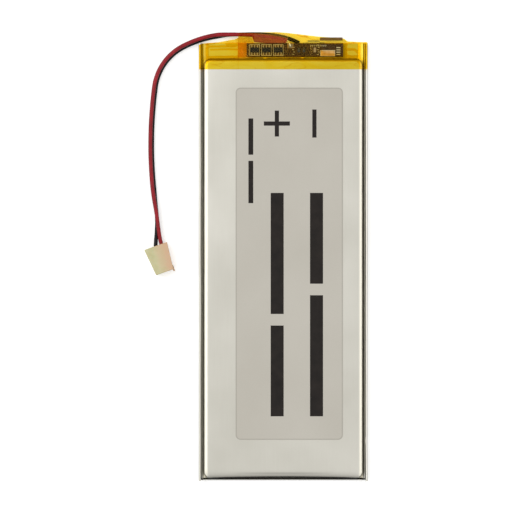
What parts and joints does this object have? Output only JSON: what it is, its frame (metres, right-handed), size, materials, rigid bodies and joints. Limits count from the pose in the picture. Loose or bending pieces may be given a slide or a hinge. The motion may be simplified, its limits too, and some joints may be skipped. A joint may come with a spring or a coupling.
{
  "type": "pouch battery cell",
  "caption": "Flat lithium pouch cell with a taped protection board at one end and two flexible leads to a small crimp plug.",
  "frame": {"origin": "centre of the flat back face, halfway between the bottom fold and the end of the tab terrace", "axes": "+Z out of the labelled front face, +Y towards the taped head, +X to the right when the label faces the viewer and the head is up"},
  "size_m": [0.0738, 0.1481, 0.0048],
  "materials": {
    "laminate_film": "satin laminate film",
    "cathode_coating": "matt coating",
    "anode_coating": "matt coating",
    "separator": "matt film",
    "polyimide": "glossy amber film",
    "aluminium_tab": "bright",
    "nickel": "bright",
    "sealant": "milky film",
    "paper": "matt paper",
    "board": "solder mask",
    "gold_pads": "bright",
    "chip_plastic": "matt",
    "resistor_glaze": "glaze",
    "capacitor_ceramic": "matt ceramic",
    "solder": "bright",
    "label_paper": "satin label",
    "ink": "matt ink",
    "red_insulation": "soft gloss",
    "black_insulation": "soft gloss",
    "copper": "bright",
    "tinned_brass": "tinned",
    "plug_nylon": "natural nylon"
  },
  "bodies": {
    "cell": {"pouch_lid": "laminate_film", "pouch_cup": "laminate_film", "cathode_foil": "cathode_coating", "anode_foil": "anode_coating", "separator_inner": "separator", "separator_outer": "separator", "head_tape": "polyimide", "board_tape_strip": "polyimide", "corner_tape_strip": "polyimide", "roll_closing_tape": "polyimide", "tab_weld_tapes": "polyimide", "positive_tab": "aluminium_tab", "negative_tab": "nickel", "nickel_strips": "nickel", "tab_seal_films": "sealant", "insulating_paper": "paper", "circuit_board": "board", "board_pads": "gold_pads", "protection_ic": "chip_plastic", "mosfets": "chip_plastic", "edge_insulator": "chip_plastic", "chip_resistors": "resistor_glaze", "chip_capacitor": "capacitor_ceramic", "solder_joints": "solder", "label": "label_paper", "label_print": "ink", "red_lead_root": "red_insulation", "black_lead_root": "black_insulation", "lead_cores_root": "copper"},
    "lead_upper": {"red_lead_upper": "red_insulation", "black_lead_upper": "black_insulation", "lead_cores_upper": "copper"},
    "lead_bend": {"red_lead_bend": "red_insulation", "black_lead_bend": "black_insulation", "lead_cores_bend": "copper"},
    "lead_lower": {"red_lead_lower": "red_insulation", "black_lead_lower": "black_insulation", "lead_cores_lower": "copper"},
    "plug": {"plug_housing": "plug_nylon", "crimp_terminals": "tinned_brass", "red_lead_end": "red_insulation", "black_lead_end": "black_insulation", "lead_cores_end": "copper"}
  },
  "joints": [
    {"name": "lead_exit_swing", "type": "hinge", "parent": "cell", "child": "lead_upper", "pos_m": [-0.0165, 0.0751, 0.0017], "axis": [0, 0, 1], "range_deg": [-80, 0], "stiffness_Nm_per_rad": 0.0004},
    {"name": "lead_shoulder_bend", "type": "hinge", "parent": "lead_upper", "child": "lead_bend", "pos_m": [-0.03312, 0.07103, 0.0017], "axis": [0, 0, 1], "range_deg": [-45, 1.5], "stiffness_Nm_per_rad": 0.0004},
    {"name": "lead_drop_bend", "type": "hinge", "parent": "lead_bend", "child": "lead_lower", "pos_m": [-0.04239, 0.05779, 0.0017], "axis": [0, 0, 1], "range_deg": [-60, 1.5], "stiffness_Nm_per_rad": 0.0004},
    {"name": "plug_swing", "type": "hinge", "parent": "lead_lower", "child": "plug", "pos_m": [-0.04211, 0.01766, 0.0017], "axis": [0, 0, 1], "range_deg": [-45, 8], "stiffness_Nm_per_rad": 0.0004}
  ]
}
